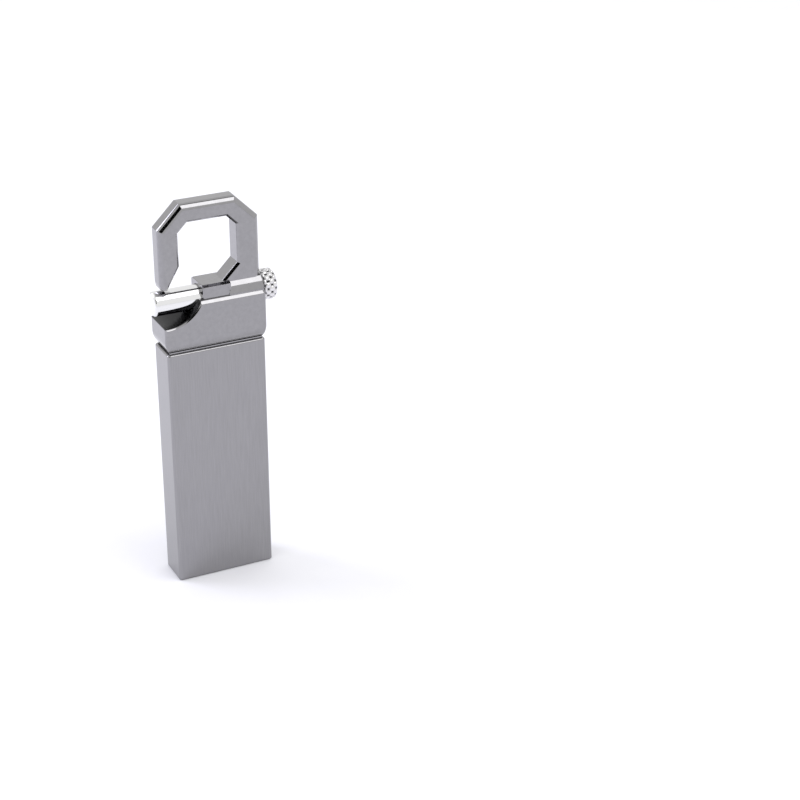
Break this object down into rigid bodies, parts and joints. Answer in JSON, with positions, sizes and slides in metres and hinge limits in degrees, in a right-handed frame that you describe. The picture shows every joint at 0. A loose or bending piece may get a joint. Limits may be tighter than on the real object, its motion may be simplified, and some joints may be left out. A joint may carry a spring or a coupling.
{
  "type": "usb flash drive",
  "caption": "Metal USB flash drive whose tube body is its own plug, with a cast snap hook closed by a sprung pull pin.",
  "frame": {"origin": "centre of the plug's open end face, on which the drive stands", "axes": "+Z from the plug's mouth to the hook, +X towards the gate pin's knob, -Y towards the side that holds the contacts' insulator"},
  "size_m": [0.0149, 0.005, 0.047],
  "materials": {
    "gunmetal": "satin gunmetal plating",
    "polished_pin": "polished chrome plating",
    "knurled_nickel": "nickel-plated diamond knurl",
    "spring_steel": "drawn spring wire",
    "blue_insulator": "moulded blue plastic",
    "gold_contact": "gold-plated contact strip",
    "black_plastic": "moulded black plastic",
    "solder_mask": "green solder mask over glass-fibre board",
    "chip_package": "black moulded chip package",
    "crystal_can": "plated steel can",
    "ceramic_tan": "fired ceramic",
    "ferrite": "sintered ferrite",
    "solder": "tin solder",
    "adhesive": "cured amber adhesive"
  },
  "bodies": {
    "drive": {"plug_shell": "gunmetal", "hook_head": "gunmetal", "pin_spring": "spring_steel", "contact_insulator": "blue_insulator", "flat_contacts": "gold_contact", "fast_carrier": "black_plastic", "fast_contacts": "gold_contact", "circuit_board": "solder_mask", "controller_chip": "chip_package", "memory_chip": "chip_package", "clock_crystal": "crystal_can", "voltage_regulator": "chip_package", "surge_protector": "chip_package", "capacitors": "ceramic_tan", "resistors": "ceramic_tan", "ferrite_beads": "ferrite", "solder_joints": "solder", "lower_carrier": "black_plastic", "upper_carrier": "black_plastic", "module_adhesive": "adhesive"},
    "gate_pin": {"lock_pin": "polished_pin", "pin_knob": "knurled_nickel"}
  },
  "joints": [
    {"name": "pin_pull", "type": "slide", "parent": "drive", "child": "gate_pin", "axis": [1, 0, 0], "range_m": [0, 0.0042], "stiffness_N_per_m": 400, "springref_m": -0.002, "deforming": ["pin_spring"]}
  ]
}
